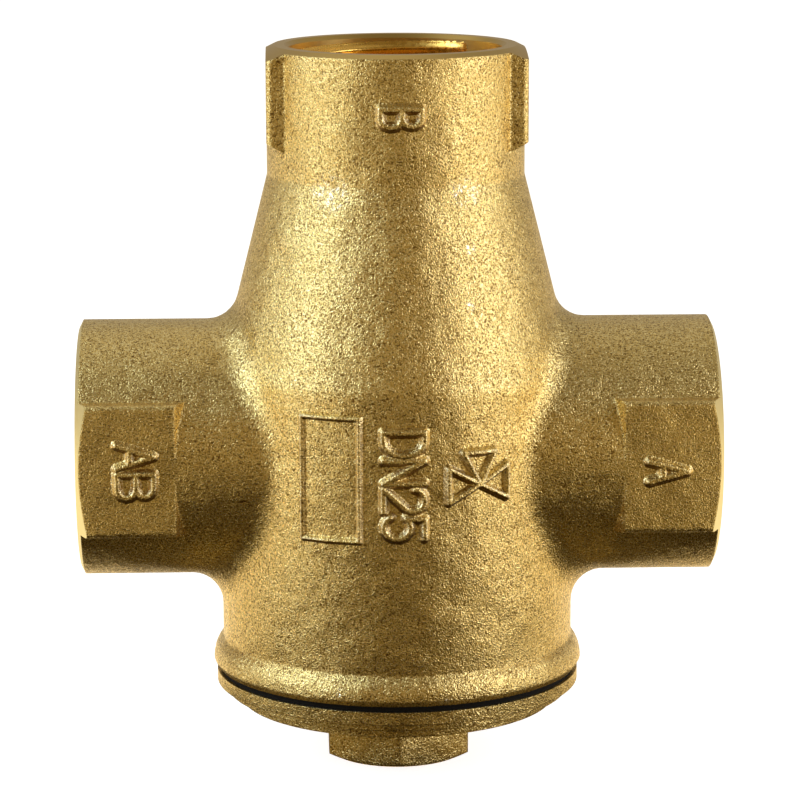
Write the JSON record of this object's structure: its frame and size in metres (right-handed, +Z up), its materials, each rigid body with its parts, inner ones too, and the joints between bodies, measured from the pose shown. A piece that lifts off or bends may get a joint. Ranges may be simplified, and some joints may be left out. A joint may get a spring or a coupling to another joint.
{
  "type": "thermostatic mixing valve",
  "caption": "Cast brass three-way mixing valve with female pipe threads, wrench pads and a screwed hexagon cover; a wax capsule cartridge inside blends hot and cold water.",
  "frame": {"origin": "middle of the bottom face of the cover's hexagon", "axes": "+Z up along the middle of port B, +X along port A, -X along port AB"},
  "size_m": [0.099, 0.0582, 0.1128],
  "materials": {
    "cast_brass": "sand-cast grain, satin",
    "forged_brass": "forged grain, satin",
    "turned_brass": "turned, semi-bright",
    "black_rubber": "matt",
    "stainless": "pressed, satin",
    "polished_steel": "ground",
    "spring_steel": "drawn wire",
    "white_plastic": "moulded",
    "wax": "wax with copper powder"
  },
  "bodies": {
    "housing": {"valve_body": "cast_brass", "bottom_cover": "forged_brass", "cover_gasket": "black_rubber", "spacer_cage": "turned_brass", "flange_seal": "black_rubber", "seat_flange": "stainless", "lower_bridge": "stainless", "upper_bridge": "stainless", "piston_pin": "polished_steel", "main_spring": "spring_steel", "bypass_spring": "spring_steel"},
    "capsule": {"capsule_head": "turned_brass", "sleeve_washer": "white_plastic", "wax_cup": "turned_brass", "rubber_sleeve": "black_rubber", "wax_charge": "wax", "main_disc": "stainless", "disc_seal": "black_rubber", "bypass_stem": "polished_steel", "stem_washer": "stainless", "retaining_ring": "spring_steel"},
    "port_b_disc": {"bypass_disc": "stainless", "disc_bush": "white_plastic"}
  },
  "joints": [
    {"name": "capsule_stroke", "type": "slide", "parent": "housing", "child": "capsule", "axis": [0, 0, 1], "range_m": [0, 0.006], "stiffness_N_per_m": 4000, "springref_m": -0.006, "deforming": ["main_spring"]},
    {"name": "port_b_overtravel", "type": "slide", "parent": "capsule", "child": "port_b_disc", "axis": [0, 0, 1], "range_m": [-0.002, 0], "stiffness_N_per_m": 1500, "springref_m": 0.003, "deforming": ["bypass_spring"]}
  ]
}
